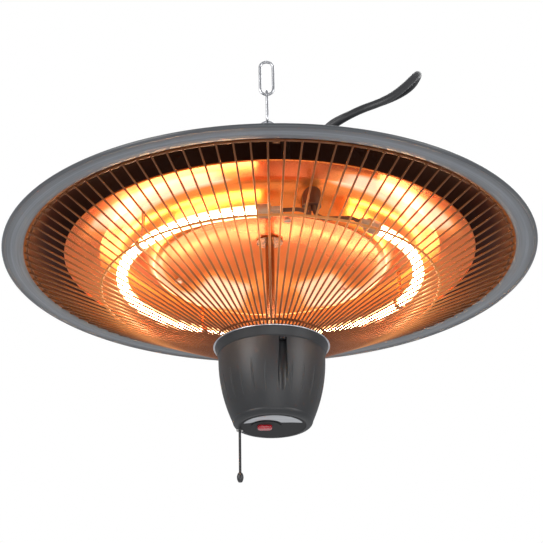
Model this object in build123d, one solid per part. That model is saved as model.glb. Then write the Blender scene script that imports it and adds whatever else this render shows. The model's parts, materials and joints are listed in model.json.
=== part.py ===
from build123d import *
import os
from math import asin, atan2, cos, degrees, hypot, pi, radians, sin, sqrt, tan

os.makedirs("parts", exist_ok=True)

# Hanging electric patio heater. The origin is the inner seat of the top chain link, +Z is up.
# Heights called h are measured up from the underside of the brim.

# Chain and eye
link_wire = 3.4
link_inner_length = 42.0
link_width = 19.0
chain_play = 0.15
eye_wire = 3.8
eye_width = 21.5
eye_stand = 25.5
stem_dia = 6.0
stem_depth = 56.0
nut_across = 10.0
nut_height = 5.0
washer_dia = 16.0
washer_thick = 1.6

# Outer dish
brim_radius = 300.0
brim_inner_radius = 276.0
bead_radius = 2.4
dish_sheet = 1.0
dish_rise = 92.0
dish_top_radius = 125.0
dish_bulge = 7.0

# Top cap
cap_radius = 36.5
cap_top_radius = 25.0
cap_height = 44.0
cap_straight = 16.0
cap_wall = 1.5
gland_turn = -35.0
gland_dia = 16.0
gland_nut_height = 6.0
boot_length = 27.0
boot_dia = 15.0
boot_tip_dia = 11.6

# Inner reflector
reflector_radius = 230.0
reflector_edge_h = 1.0
crease_radius = 192.0
crease_h = 4.0
trough_radius = 158.0
trough_h = 22.0
trough_round = 22.0
ridge_radius = 129.5
ridge_h = -11.0
ridge_round = 6.0
dome_radius = 75.0
dome_h = 16.0
dome_round = 150.0
reflector_top_h = 26.5
reflector_sheet = 0.9
lip_radius = 1.2
bushing_x = 45.0
bushing_y = -138.0
bushing_length = 26.0
bushing_dia = 20.0
bushing_bore = 11.0
standoff_radius = 112.0
standoff_dia = 9.0
standoff_count = 3
screw_dia = 4.0
screw_head_dia = 8.0
screw_head_height = 2.4

# Column and hub
column_dia = 10.0
column_bore = 7.0
flange_dia = 46.0
flange_thick = 2.0
collar_dia = 30.0
collar_thick = 2.0

# Lamp
lamp_radius = 166.0
lamp_h = -23.0
lamp_dia = 13.0
lamp_glass = 1.0
lamp_start = -47.0
lamp_end = 266.0
filament_dia = 2.4
end_cap_dia = 15.4
end_cap_length = 24.0
clip_angles = (25.0, 120.0, 215.0)
clip_width = 7.0
clip_wall = 1.0
post_dia = 4.0
lead_dia = 4.2

# Wire guard
wire_count = 100
wire_dia = 2.2
wire_end_gap = 1.4
wire_outer_radius = brim_inner_radius - wire_end_gap
wire_outer_h = -0.9
wire_inner_radius = 61.0
wire_inner_h = -104.1
ring_wire = 2.8
outer_ring_inset = 2.1
outer_ring_radius = wire_outer_radius - outer_ring_inset
mid_ring_radius = 190.0
hub_ring_radius = 65.0
weld_play = 0.04
clip_count = 6

# Housing pot
trim_radius = 64.4
trim_thick = 1.5
trim_width = 6.4
lip_outer_radius = 62.5
lip_lower_radius = 59.6
lip_height = 8.5
pot_top_radius = 58.7
pot_mid_radius = 55.2
pot_mid_drop = 49.0
pot_low_radius = 43.6
pot_height = 91.0
pot_corner = 5.6
pot_wall = 2.5
flute_count = 24
flute_radius = 1.6
flute_depth = 0.5
flute_high = 27.0
flute_low = 76.0
well_dia = 10.6
well_radius = 55.3
well_top_drop = 11.0
well_turn = -78.0
well_count = 3
base_radius = 36.0
base_thick = 2.5
base_gap = 0.25
boss_radius = 16.0
boss_x = -7.5
boss_y = -0.5
boss_height = 1.0
lens_width = 16.0
lens_depth = 10.0
lens_proud = 3.6
lens_x = -9.0
lens_y = -1.5

# Control parts inside the pot
board_radius = 38.0
board_thick = 1.6
board_drop = 60.0
plate_radius = 60.5
plate_thick = 2.0

# Pull switch
pull_x = -36.2
pull_y = 13.2
pull_travel = 12.0
string_dia = 2.8
string_out = 49.0
knob_dia = 7.0
knob_length = 10.0
eyelet_dia = 7.4
plunger_dia = 4.6
switch_width = 14.0
switch_depth = 18.0
switch_height = 30.0
cam_dia = 7.0
cam_width = 3.0

# Mains cord
cord_dia = 9.2
coil_outer_radius = 64.0
coil_pitch = 10.0
coil_layer_step = 9.8
coil_turns_each = 2.0
coil_lift = 0.9
tie_turn = 300.0
tie_width = 8.0
tie_thick = 0.5
plug_length = 46.0
plug_dia = 37.0
plug_neck_dia = 12.5
pin_dia = 4.8
pin_length = 19.0
pin_spacing = 19.0

# Heights that follow from the chain
upper_seat = -link_inner_length
lower_top = upper_seat + chain_play
lower_seat = lower_top - link_inner_length
eye_top = lower_seat + chain_play + eye_wire
eye_bottom = eye_top - eye_width
brim_z = eye_bottom - eye_stand - cap_height - dish_rise


def at(h):
    """Row-frame height of a point h above the brim."""
    return brim_z + h


def save(name, shape):
    export_step(shape, f"parts/{name}.step")


def group(solids):
    return Compound(children=[s.solid() if hasattr(s, "solid") else s for s in solids])


def rod(radius, low, high, x=0.0, y=0.0):
    return Pos(x, y, low) * Cylinder(radius, high - low, align=(Align.CENTER, Align.CENTER, Align.MIN))


def tube(outer, inner, low, high, x=0.0, y=0.0):
    return rod(outer, low, high, x, y) - rod(inner, low - 1, high + 1, x, y)


def turned(edges):
    """A solid of revolution from edges drawn in the XZ plane."""
    return revolve(make_face(edges), Axis.Z)


def lines(points, close=True):
    return Polyline([(r, 0, z) for r, z in points], close=close)


def ring_wire_solid(radius, h, wire):
    return Pos(0, 0, at(h)) * Torus(radius, wire / 2)


def hexagon(across, low, high, x=0.0, y=0.0):
    flat = RegularPolygon(across / 2, 6, major_radius=False)
    return extrude(Pos(x, y, low) * flat, high - low)


def circle_through(a, b, c):
    """Centre and radius of the circle through three (r, h) points."""
    ax, ay, bx, by, cx, cy = *a, *b, *c
    d = 2 * (ax * (by - cy) + bx * (cy - ay) + cx * (ay - by))
    ux = ((ax**2 + ay**2) * (by - cy) + (bx**2 + by**2) * (cy - ay) + (cx**2 + cy**2) * (ay - by)) / d
    uy = ((ax**2 + ay**2) * (cx - bx) + (bx**2 + by**2) * (ax - cx) + (cx**2 + cy**2) * (bx - ax)) / d
    return ux, uy, hypot(ax - ux, ay - uy)


def corner_radii(points):
    """Fillet radius at each inner point, as large as its two runs allow."""
    radii = []
    for a, b, c in zip(points, points[1:], points[2:]):
        u, v = Vector(*b) - Vector(*a), Vector(*c) - Vector(*b)
        turn = radians(u.get_angle(v))
        radii.append(0.45 * min(u.length, v.length) / tan(turn / 2))
    return radii


# Chain

def chain_link(inner_top, turn):
    """An oval link: two straight legs and two half rings, in a vertical plane."""
    half = (link_width - link_wire) / 2
    top = inner_top + link_wire / 2 - half
    bottom = inner_top - link_inner_length - link_wire / 2 + half
    section = Pos(half, 0, 0) * Circle(link_wire / 2)
    arc = revolve(Pos(half, 0, 0) * Circle(link_wire / 2), Axis((0, 0, 0), (0, 1, 0)), 180)
    upper = Pos(0, 0, top) * arc
    if upper.bounding_box().max.Z < top + 1:
        upper = Pos(0, 0, top) * Rot(180, 0, 0) * arc
    lower = Pos(0, 0, bottom) * Rot(180, 0, 0) * (Pos(0, 0, -top) * upper)
    legs = rod(link_wire / 2, bottom, top, half) + rod(link_wire / 2, bottom, top, -half)
    return Rot(0, 0, turn) * (upper + lower + legs)


def hanging_eye():
    middle = eye_top - eye_width / 2
    ring = Pos(0, 0, middle) * Rot(90, 0, 0) * Torus((eye_width - eye_wire) / 2, eye_wire / 2)
    stem_low = at(dish_rise + cap_height) - stem_depth
    stem = rod(stem_dia / 2, stem_low, eye_bottom + eye_wire * 0.6)
    collar = rod(stem_dia / 2 + 2, eye_bottom - 3.0, eye_bottom + 0.6)
    return ring + stem + collar


def eye_fixings():
    """Washer and nut on the cap, nut and washer under the dish."""
    lid = at(dish_rise + cap_height)
    under = at(dish_rise - dish_sheet)
    hole = stem_dia / 2 + 0.05
    washer = tube(washer_dia / 2, hole, lid, lid + washer_thick)
    nut = hexagon(nut_across, lid + washer_thick, lid + washer_thick + nut_height)
    inside = lid - cap_wall
    nut = nut - rod(hole, lid, lid + 20)
    lock_washer = tube(washer_dia / 2, hole, inside - washer_thick, inside)
    lock_low = inside - washer_thick - nut_height
    lock = hexagon(nut_across, lock_low, inside - washer_thick) - rod(hole, lock_low - 1, inside)
    return group([washer, nut]), group([lock_washer, lock])


# Dish and cap

dish_low = (brim_inner_radius, 0.0)
dish_high = (dish_top_radius, dish_rise - dish_sheet)
dish_mid = (
    (dish_low[0] + dish_high[0]) / 2 + dish_bulge * 0.5,
    (dish_low[1] + dish_high[1]) / 2 + dish_bulge,
)
dish_hole = stem_dia / 2 + 0.4


def outer_dish():
    """Spun sheet: flat brim with a rolled bead, convex wall and flat top."""
    t = dish_sheet
    out_mid = (dish_mid[0] + t * 0.5, dish_mid[1] + t * 0.87)
    edge = brim_radius - bead_radius
    under = [
        Line((edge, 0, at(0)), (dish_low[0], 0, at(0))),
        ThreePointArc((dish_low[0], 0, at(0)), (dish_mid[0], 0, at(dish_mid[1])), (dish_high[0], 0, at(dish_high[1]))),
        Line((dish_high[0], 0, at(dish_high[1])), (dish_hole, 0, at(dish_high[1]))),
        Line((dish_hole, 0, at(dish_high[1])), (dish_hole, 0, at(dish_rise))),
        Line((dish_hole, 0, at(dish_rise)), (dish_top_radius + 0.4, 0, at(dish_rise))),
        ThreePointArc((dish_top_radius + 0.4, 0, at(dish_rise)), (out_mid[0], 0, at(out_mid[1])), (dish_low[0] + 1.2, 0, at(t))),
        Line((dish_low[0] + 1.2, 0, at(t)), (edge, 0, at(t))),
        Line((edge, 0, at(t)), (edge, 0, at(0))),
    ]
    dish = turned(Curve() + under)
    dish += Pos(0, 0, at(bead_radius - 0.9)) * Torus(edge, bead_radius)
    for k in range(standoff_count):
        x, y = standoff_place(k)
        dish -= rod(screw_dia / 2 + 0.2, at(dish_high[1] - 2), at(dish_rise + 2), x, y)
    for x, y in flange_screw_places():
        dish -= rod(screw_dia / 2 + 0.2, at(dish_high[1] - 2), at(dish_rise + 2), x, y)
    return dish


def standoff_place(k):
    turn = radians(40 + 360 / standoff_count * k)
    return standoff_radius * cos(turn), standoff_radius * sin(turn)


def flange_screw_places():
    r = flange_dia / 2 - 6
    return [(r * cos(radians(a)), r * sin(radians(a))) for a in (90, 210, 330)]


gland_slope = atan2(cap_radius - cap_top_radius, cap_height - cap_straight)
gland_axis = Vector(
    cos(gland_slope) * cos(radians(gland_turn)), cos(gland_slope) * sin(radians(gland_turn)), sin(gland_slope)
)
gland_r = (cap_radius + cap_top_radius) / 2
gland_seat = Vector(
    gland_r * cos(radians(gland_turn)),
    gland_r * sin(radians(gland_turn)),
    at(dish_rise + (cap_height + cap_straight) / 2),
)


def gland_plane(out=0.0):
    return Plane(gland_seat + gland_axis * out, z_dir=gland_axis)


def cap_form(inset):
    """The cap's solid form, drawn in by inset."""
    low = at(dish_rise) + (0 if inset == 0 else -1)
    points = [
        (0, low),
        (cap_radius - inset, low),
        (cap_radius - inset, at(dish_rise + cap_straight) - inset * 0.3),
        (cap_top_radius - inset, at(dish_rise + cap_height) - inset),
        (0, at(dish_rise + cap_height) - inset),
    ]
    return turned(lines(points))


def top_cap():
    cap = cap_form(0) - cap_form(cap_wall)
    cap -= rod(stem_dia / 2 + 0.2, at(dish_rise), at(dish_rise + cap_height + 2))
    bore = extrude(gland_plane(-6) * Circle(cord_dia / 2 + 2.0), 16)
    return cap - bore


def cord_gland():
    """Screwed gland nut on the sloping wall, with its neck in the cap's hole."""
    nut = extrude(gland_plane(0.05) * RegularPolygon(gland_dia / 2, 6), gland_nut_height)
    neck = extrude(gland_plane(-4) * Circle(cord_dia / 2 + 1.9), 6)
    hole = extrude(gland_plane(-8) * Circle(cord_dia / 2 + 0.1), 30)
    return nut + neck - hole


def cord_boot():
    """Tapered strain relief on the gland nut."""
    low = gland_nut_height + 0.1
    base = gland_plane(low) * Circle(boot_dia / 2)
    tip = gland_plane(low + boot_length) * Circle(boot_tip_dia / 2)
    cone = loft([base, tip])
    return cone - extrude(gland_plane(low - 2) * Circle(cord_dia / 2 + 0.05), boot_length + 6)


# Inner reflector

column_gap = 0.4


def reflector_path():
    """Underside of the reflector in the XZ plane, from its edge to the column."""
    points = [
        (reflector_radius, 0, at(reflector_edge_h)),
        (crease_radius, 0, at(crease_h)),
        (trough_radius, 0, at(trough_h)),
        (ridge_radius, 0, at(ridge_h)),
        (dome_radius, 0, at(dome_h)),
        (column_dia / 2 + column_gap, 0, at(reflector_top_h)),
    ]
    return FilletPolyline(*points, radius=[1.5, trough_round, ridge_round, dome_round])


reflector_line = reflector_path()


def reflector_height(r):
    """Height h of the reflector's underside at radius r."""
    low, high = 0.0, 1.0
    for _ in range(40):
        middle = (low + high) / 2
        if (reflector_line @ middle).X > r:
            low = middle
        else:
            high = middle
    return (reflector_line @ low).Z - brim_z


def inner_reflector():
    """Spun bowl: a flat edge, a crease, a trough over the lamp, a ridge and a shallow dome."""
    t = reflector_sheet
    upper = Pos(0, 0, t) * reflector_line
    ends = [Line(reflector_line @ 1, upper @ 1), Line(upper @ 0, reflector_line @ 0)]
    bowl = revolve(make_face(reflector_line.edges() + upper.edges() + [e.edge() for e in ends]), Axis.Z)
    bowl += Pos(0, 0, at(reflector_edge_h + t / 2)) * Torus(reflector_radius, lip_radius)
    bowl -= rod(bushing_dia / 2 + 0.1, at(-20), at(60), bushing_x, bushing_y)
    for k in range(standoff_count):
        bowl -= rod(screw_dia / 2 + 0.2, at(-20), at(60), *standoff_place(k))
    return bowl


def reflector_standoffs():
    seat = at(reflector_height(standoff_radius - standoff_dia / 2) + reflector_sheet) + 0.05
    top = at(dish_rise - dish_sheet)
    return group([tube(standoff_dia / 2, screw_dia / 2 + 0.1, seat, top, *standoff_place(k)) for k in range(3)])


def reflector_screws():
    """One screw up through the reflector and one down through the dish at each standoff."""
    under = at(reflector_height(standoff_radius + screw_head_dia / 2)) - 0.05
    over = at(dish_rise)
    found = []
    for k in range(standoff_count):
        x, y = standoff_place(k)
        low = rod(screw_head_dia / 2, under - screw_head_height, under, x, y) + rod(screw_dia / 2, under - 1, under + 14, x, y)
        high = rod(screw_head_dia / 2, over, over + screw_head_height, x, y) + rod(screw_dia / 2, over - 13, over + 1, x, y)
        found += [low, high]
    return group(found)


def lead_bushing():
    """Ceramic bushing in the reflector's hole, flanged below."""
    r = hypot(bushing_x, bushing_y)
    low = at(reflector_height(r)) - bushing_length * 0.45
    body = rod(bushing_dia / 2, low, low + bushing_length, bushing_x, bushing_y)
    return body - rod(bushing_bore / 2, low - 1, low + bushing_length + 1, bushing_x, bushing_y)


# Column

def centre_column():
    low = at(wire_inner_h) - 12
    top = at(dish_rise - dish_sheet)
    pipe = tube(column_dia / 2, column_bore / 2, low, top - 0.5)
    flange = tube(flange_dia / 2, column_bore / 2, top - flange_thick, top)
    for x, y in flange_screw_places():
        flange -= rod(screw_dia / 2 - 0.5, top - 10, top + 10, x, y)
    return pipe + flange


def column_screws():
    top = at(dish_rise)
    return group([
        rod(screw_head_dia / 2, top, top + screw_head_height, x, y) + rod(screw_dia / 2 - 0.6, top - 6, top + 1, x, y)
        for x, y in flange_screw_places()
    ])


def column_collar():
    top = at(reflector_height(collar_dia / 2)) - 0.3
    return tube(collar_dia / 2, column_dia / 2 + 0.1, top - collar_thick, top)


def column_nut():
    top = plate_low - 0.05
    low = top - nut_height
    return hexagon(17.0, low, top) - rod(column_dia / 2 + 0.05, low - 1, top + 1)


# Lamp

def ring_arc(radius, h, start, end):
    points = [(radius * cos(radians(a)), radius * sin(radians(a)), at(h)) for a in (start, (start + end) / 2, end)]
    return ThreePointArc(*points)


def arc_tube(outer, start, end, radius=lamp_radius):
    """A round bar bent along the lamp's ring."""
    middle = (start + end) / 2
    halves = [ring_arc(radius, lamp_h, start, middle), ring_arc(radius, lamp_h, middle, end)]
    path = Wire([h.edge() for h in halves])
    place = path @ 0
    return sweep(Plane(place, z_dir=path % 0) * Circle(outer), path=path)


def lamp_tube():
    return arc_tube(lamp_dia / 2, lamp_start, lamp_end) - arc_tube(lamp_dia / 2 - lamp_glass, lamp_start, lamp_end)


def lamp_filament():
    return arc_tube(filament_dia / 2, lamp_start, lamp_end)


def end_place(angle):
    a = radians(angle)
    return Vector(lamp_radius * cos(a), lamp_radius * sin(a), at(lamp_h)), Vector(-sin(a), cos(a), 0)


def lamp_ends():
    """Ceramic end caps over the two pinched ends."""
    found = []
    for angle, way in ((lamp_start, -1), (lamp_end, 1)):
        place, along = end_place(angle)
        out = along * way
        cap = extrude(Plane(place + out * 0.05, z_dir=out) * Circle(end_cap_dia / 2), end_cap_length * 0.55)
        pinch = extrude(Plane(place + out * 2, z_dir=out) * RectangleRounded(11, 5.6, 1.5), end_cap_length)
        found.append(cap + pinch)
    return group(found)


def lamp_clips():
    """Spring clips round the tube, each on a post from the reflector."""
    found = []
    for angle in clip_angles:
        place, along = end_place(angle)
        band = extrude(Plane(place - along * clip_width / 2, z_dir=along) * Circle(lamp_dia / 2 + clip_wall + 0.05), clip_width)
        top = at(reflector_height(lamp_radius + post_dia / 2) - 0.1)
        post = rod(post_dia / 2, place.Z + lamp_dia / 2 + 0.3, top, place.X, place.Y)
        bore = extrude(Plane(place - along * clip_width, z_dir=along) * Circle(lamp_dia / 2 + 0.05), clip_width * 2)
        found.append(band + post - bore)
    return group(found)


def lead(points):
    path = FilletPolyline(*points, radius=corner_radii([tuple(p) for p in points]))
    return sweep(Plane(path @ 0, z_dir=path % 0) * Circle(lead_dia / 2), path=path)


def lamp_leads():
    """Two sleeved leads from the lamp's ends up into the bushing."""
    place_a, along_a = end_place(lamp_end)
    place_b, along_b = end_place(lamp_start)
    start_a = place_a + along_a * (end_cap_length + 2.1)
    start_b = place_b - along_b * (end_cap_length + 2.1)
    x, y = bushing_x, bushing_y
    low = at(reflector_height(hypot(x, y)))
    knee_a = start_a + along_a * 20
    knee_b = start_b - along_b * 12
    first = [start_a, knee_a, (x - 3, y - 10, low - 27), (x - 2.6, y, low - 20), (x - 2.7, y + 0.3, low + 20)]
    second = [start_b, knee_b, (x + 12, y - 4, low - 28), (x + 2.6, y + 0.6, low - 20), (x + 2.5, y + 0.8, low + 20)]
    return group([lead(first), lead(second)])


def terminal_block():
    low = at(dish_rise) + 0.05
    block = Pos(-26, 0, low) * Box(9, 24, 14, align=(Align.CENTER, Align.CENTER, Align.MIN))
    for y in (-8, 0, 8):
        block -= rod(1.8, low + 7, low + 20, -26, y)
    return block


# Wire guard

guard_slope = atan2(wire_outer_h - wire_inner_h, wire_outer_radius - wire_inner_radius)


def guard_h(r):
    """Height of a wire's axis at radius r."""
    return wire_inner_h + (r - wire_inner_radius) * tan(guard_slope)


def guard_wires():
    """Straight radial wires, each its own bar."""
    length = hypot(wire_outer_radius - wire_inner_radius, wire_outer_h - wire_inner_h)
    bar = Cylinder(wire_dia / 2, length, align=(Align.CENTER, Align.CENTER, Align.MIN))
    lean = Pos(wire_inner_radius, 0, at(wire_inner_h)) * Rot(0, 90 - degrees(guard_slope), 0) * bar
    return group([Rot(0, 0, -90 + 360 / wire_count * k) * lean for k in range(wire_count)])


def guard_ring(r):
    """A ring welded on the lamp side of the wires at radius r."""
    off = (wire_dia + ring_wire) / 2 + weld_play
    return ring_wire_solid(r - off * sin(guard_slope), guard_h(r) + off * cos(guard_slope), ring_wire)


def guard_clips():
    """Clips that hang the outer ring from the dish wall, between the wires."""
    cr, ch, cd = circle_through(dish_low, dish_mid, dish_high)
    off = (wire_dia + ring_wire) / 2 + weld_play
    ring_r = outer_ring_radius - off * sin(guard_slope)
    ring_h = guard_h(outer_ring_radius) + off * cos(guard_slope)
    plate_r = ring_r - ring_wire / 2 - 0.1
    roof = ch + sqrt(cd**2 - (plate_r - cr) ** 2)
    found = []
    for k in range(clip_count):
        plate = Pos(plate_r - 0.5, 0, at((ring_h - 2.4 + roof - 0.6) / 2)) * Box(1.0, 7, roof - 0.6 - ring_h + 2.4)
        hook = Pos(plate_r + 1.2, 0, at(ring_h - ring_wire / 2 - 0.6)) * Box(4.4, 7, 1.0)
        turn = 360 / wire_count * (round(wire_count / clip_count * k) + 0.5) - 90
        found.append(Rot(0, 0, turn) * (plate + hook))
    return group(found)


# Housing pot

pot_top = wire_inner_h - wire_dia / 2 - 0.1 - trim_thick
plate_low = at(pot_top + trim_thick) + 0.05


def trim_ring():
    ring = tube(trim_radius, trim_radius - trim_width, at(pot_top) + 0.02, at(pot_top + trim_thick))
    return fillet(ring.edges().filter_by(GeomType.CIRCLE).sort_by(SortBy.RADIUS)[-2:], 0.6)


def hub_plate():
    """Steel plate that carries the pot, clamped on the column."""
    plate = tube(plate_radius - 0.4, column_dia / 2 + 0.1, plate_low, plate_low + plate_thick)
    for k in range(well_count):
        plate -= rod(screw_dia / 2 - 0.4, plate_low - 1, plate_low + 9, *well_place(k))
    return plate


def well_place(k):
    turn = radians(well_turn + 360 / well_count * k)
    return well_radius * cos(turn), well_radius * sin(turn)


def pot_profile(inset):
    """The pot's outline from its lip to its flat bottom, drawn in by inset."""
    top = at(pot_top)
    low = at(pot_top - pot_height)
    body_top = top - lip_height - 1.2
    i = inset
    corner = pot_corner - i if i else pot_corner
    flat = pot_low_radius - pot_corner
    edges = [
        Line((0, 0, top + (1 if i else 0)), (pot_top_radius - i if i else lip_outer_radius, 0, top + (1 if i else 0))),
    ]
    if i:
        edges += [Line((pot_top_radius - i, 0, top + 1), (pot_top_radius - i, 0, body_top))]
    else:
        edges += [
            Line((lip_outer_radius, 0, top), (lip_lower_radius, 0, top - lip_height)),
            Line((lip_lower_radius, 0, top - lip_height), (pot_top_radius, 0, body_top)),
        ]
    mid = (pot_mid_radius - i, 0, top - pot_mid_drop)
    foot = (pot_low_radius - i, 0, low + pot_corner)
    edges += [
        ThreePointArc((pot_top_radius - i, 0, body_top), mid, foot),
        ThreePointArc(foot, (flat + corner * 0.7071, 0, low + pot_corner - corner * 0.7071), (flat, 0, low + i)),
        Line((flat, 0, low + i), (0, 0, low + i)),
        Line((0, 0, low + i), (0, 0, top + (1 if i else 0))),
    ]
    return turned(Curve() + edges)


def pot_side(drop, out):
    """Point beside the pot at a depth below its lip, out from its side."""
    top = (pot_top_radius, -lip_height - 1.2)
    foot = (pot_low_radius, -pot_height + pot_corner)
    cr, ch, cd = circle_through(top, (pot_mid_radius, -pot_mid_drop), foot)
    lean = asin((-drop - ch) / cd)
    return cr + (cd + out) * cos(lean), 0, at(pot_top) + ch + (cd + out) * sin(lean)


def flute_cutter():
    """A slim round cutter bent along the pot's side, so that its groove fades out at both ends."""
    high = pot_side(flute_high, flute_radius + 0.3)
    mid = pot_side((flute_high + flute_low) / 2, flute_radius - flute_depth)
    foot = pot_side(flute_low, flute_radius + 0.3)
    path = ThreePointArc(high, mid, foot)
    return sweep(Plane(path @ 0, z_dir=path % 0) * Circle(flute_radius), path=path)


def housing_pot():
    """Moulded pot: bevelled lip, fluted bulging side, three screw wells and a bottom flange."""
    outer = pot_profile(0)
    cutter = flute_cutter()
    for k in range(flute_count):
        outer -= Rot(0, 0, 360 / flute_count * (k + 0.5)) * cutter
    pot = outer - pot_profile(pot_wall)
    low = at(pot_top - pot_height)
    ledge = at(pot_top - well_top_drop)
    walls = rod(well_dia / 2 + 2, low + 8, at(pot_top) - 0.05, *well_place(0))
    for k in range(1, well_count):
        walls += rod(well_dia / 2 + 2, low + 8, at(pot_top) - 0.05, *well_place(k))
    pot += walls & outer
    for k in range(well_count):
        x, y = well_place(k)
        pot -= rod(well_dia / 2, low - 5, ledge, x, y)
        pot -= rod(screw_dia / 2 + 0.2, ledge - 1, at(pot_top) + 5, x, y)
    pot -= rod(base_radius, low - 1, low + pot_wall + 1)
    pot -= rod(eyelet_dia / 2 + 0.02, low - 2, low + pot_wall + 3, pull_x, pull_y)
    return pot


def housing_screws():
    ledge = at(pot_top - well_top_drop)
    found = []
    for k in range(well_count):
        x, y = well_place(k)
        head = rod(screw_head_dia / 2, ledge - screw_head_height, ledge, x, y)
        found.append(head + rod(screw_dia / 2 - 0.5, ledge - 1, plate_low + plate_thick, x, y))
    return group(found)


def base_plate():
    """Bottom disc with an inner rim that rests on the pot's flange, and a boss round the lens."""
    low = at(pot_top - pot_height) + 0.2
    flange = low - 0.2 + pot_wall + 0.05
    plate = rod(base_radius - base_gap, low, flange + base_thick)
    plate += rod(base_radius + 1.0, flange, flange + base_thick)
    plate += rod(boss_radius, low - boss_height, low + 1, boss_x, boss_y)
    plate -= rod(eyelet_dia / 2 + 0.1, low - 9, low + 9, pull_x, pull_y)
    hole = Pos(lens_x, lens_y, low - 5) * RectangleRounded(lens_width + 0.2, lens_depth + 0.2, 4.1)
    return plate - extrude(hole, 20)


def indicator_lens():
    """Domed red window."""
    low = at(pot_top - pot_height) + 0.2 - boss_height - lens_proud
    flat = Pos(lens_x, lens_y, low) * RectangleRounded(lens_width, lens_depth, 4.0)
    lens = extrude(flat, lens_proud + boss_height + base_thick + 3)
    return fillet(lens.faces().sort_by(Axis.Z)[0].edges(), 2.2)


def control_board():
    """Round board with relays and a receiver over the lens, on its own pillars."""
    low = at(pot_top - board_drop)
    board = rod(board_radius, low, low + board_thick)
    board -= Pos(pull_x - 6, pull_y, low) * Box(36, 30, 20)
    board -= rod(14, low - 5, low + 5)
    for x, y in ((14, 18), (14, -18)):
        board += Pos(x, y, low + board_thick) * Box(19, 15, 15, align=(Align.CENTER, Align.CENTER, Align.MIN))
    board += Pos(-4, -25, low + board_thick) * Box(12, 14, 9, align=(Align.CENTER, Align.CENTER, Align.MIN))
    for x, y in ((26, 0), (0, -32), (8, 30)):
        board += rod(3, at(pot_top - pot_height) + pot_wall + base_thick + 0.3, low + 0.5, x, y)
    return board


# Pull switch

string_low = at(pot_top - pot_height) - string_out
switch_low = at(pot_top - pot_height) + 22


def switch_box():
    """Open-sided switch body that guides the plunger and the ratchet cam."""
    box = Pos(pull_x + 2.6, pull_y - 1, switch_low) * Box(
        switch_width, switch_depth, switch_height, align=(Align.CENTER, Align.CENTER, Align.MIN)
    )
    hollow = Pos(pull_x + 2.6, pull_y - 3, switch_low + 2) * Box(
        switch_width - 3, switch_depth, switch_height - 4, align=(Align.CENTER, Align.CENTER, Align.MIN)
    )
    hole = rod(string_dia / 2 + 0.3, switch_low - 5, switch_low + 8, pull_x, pull_y)
    return box - hollow - hole


def pull_plunger():
    """Plunger that the string is tied to."""
    top = switch_low + switch_height - 3
    return rod(plunger_dia / 2, top - 9, top, pull_x, pull_y)


def pull_spring():
    """Plain sleeve in the place of the coil spring under the plunger."""
    top = switch_low + switch_height - 12
    return tube(plunger_dia / 2, string_dia / 2 + 0.3, switch_low + 2.05, top - 0.05, pull_x, pull_y)


def pull_string():
    top = switch_low + switch_height - 12.05
    return rod(string_dia / 2, string_low, top, pull_x, pull_y)


def pull_knob():
    """Turned toggle that ends the string."""
    top = string_low + 1
    r = knob_dia / 2
    neck = string_dia / 2 + 0.9
    edges = [
        Line((0, 0, top - knob_length), (r * 0.6, 0, top - knob_length)),
        ThreePointArc((r * 0.6, 0, top - knob_length), (r, 0, top - knob_length * 0.62), (neck, 0, top)),
        Line((neck, 0, top), (0, 0, top)),
        Line((0, 0, top), (0, 0, top - knob_length)),
    ]
    knob = Pos(pull_x, pull_y, 0) * turned(Curve() + edges)
    return knob - rod(string_dia / 2 + 0.02, string_low, top + 5, pull_x, pull_y)


def string_eyelet():
    low = at(pot_top - pot_height)
    ring = tube(eyelet_dia / 2, string_dia / 2 + 0.35, low - 0.2, low + pot_wall + 2, pull_x, pull_y)
    return ring


def ratchet_cam():
    """Four-step ratchet wheel beside the plunger, turned a quarter by each pull."""
    x = pull_x + 4.3
    y = pull_y - 6.6
    z = switch_low + switch_height - 14
    wheel = Pos(x, y, z) * Rot(90, 0, 0) * Cylinder(cam_dia / 2 * 0.8, cam_width)
    for k in range(4):
        tooth = Pos(0, cam_dia / 2 - 1.1, 0) * Box(1.4, 2.2, cam_width)
        wheel += Pos(x, y, z) * Rot(90, 0, 0) * (Rot(0, 0, 90 * k) * tooth)
    wall = pull_y - 3 + switch_depth / 2
    axle = Pos(x, y, z) * Rot(-90, 0, 0) * Cylinder(0.9, wall - 0.1 - y, align=(Align.CENTER, Align.CENTER, Align.MIN))
    return wheel + axle


# Mains cord

# Route of the cord from the boot, up beside the chain and back over to the coil.
cord_route = [
    (65.4, -45.8, -120.5),
    (99.0, -60.5, -105.7),
    (135.9, -48.0, -84.7),
    (160.0, -25.0, -54.0),
    (187.0, 10.5, -6.0),
    (174.0, 62.0, -7.0),
    (107.3, 76.0, -24.3),
    (66.6, 80.0, -44.4),
    (40.0, 86.0, -105.0),
]


def biarc(p0, t0, p1, t1):
    """Two arcs that leave p0 along t0 and reach p1 along t1."""
    v, t = p1 - p0, t0 + t1
    a = 2 * (1 - t0.dot(t1))
    b = v.dot(t)
    d = v.dot(v) / (2 * b) if abs(a) < 1e-9 else (-b + sqrt(b * b + a * v.dot(v))) / a
    middle = (p0 + t0 * d + p1 - t1 * d) * 0.5
    first = Edge.make_tangent_arc(p0, t0, middle)
    second = Edge.make_tangent_arc(middle, first % 1, p1)
    return [first, second]


coil_start_turn = 130.0
coil_total = 2 * coil_turns_each
coil_end_turn = coil_start_turn + 360 * coil_total
coil_low = at(dish_rise) + cord_dia / 2 + coil_lift


def coil_point(s):
    """Point at s turns along the coil: in on the upper layer, down, and out on the lower one."""
    half = coil_turns_each
    r = coil_outer_radius - coil_pitch * (s if s < half else 2 * half - s)
    part = min(max((s - half + 0.25) / 0.5, 0.0), 1.0)
    drop = part * part * (3 - 2 * part)
    a = radians(coil_start_turn + 360 * s)
    return Vector(r * cos(a), r * sin(a), coil_low + coil_layer_step * (1 - drop))


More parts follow.
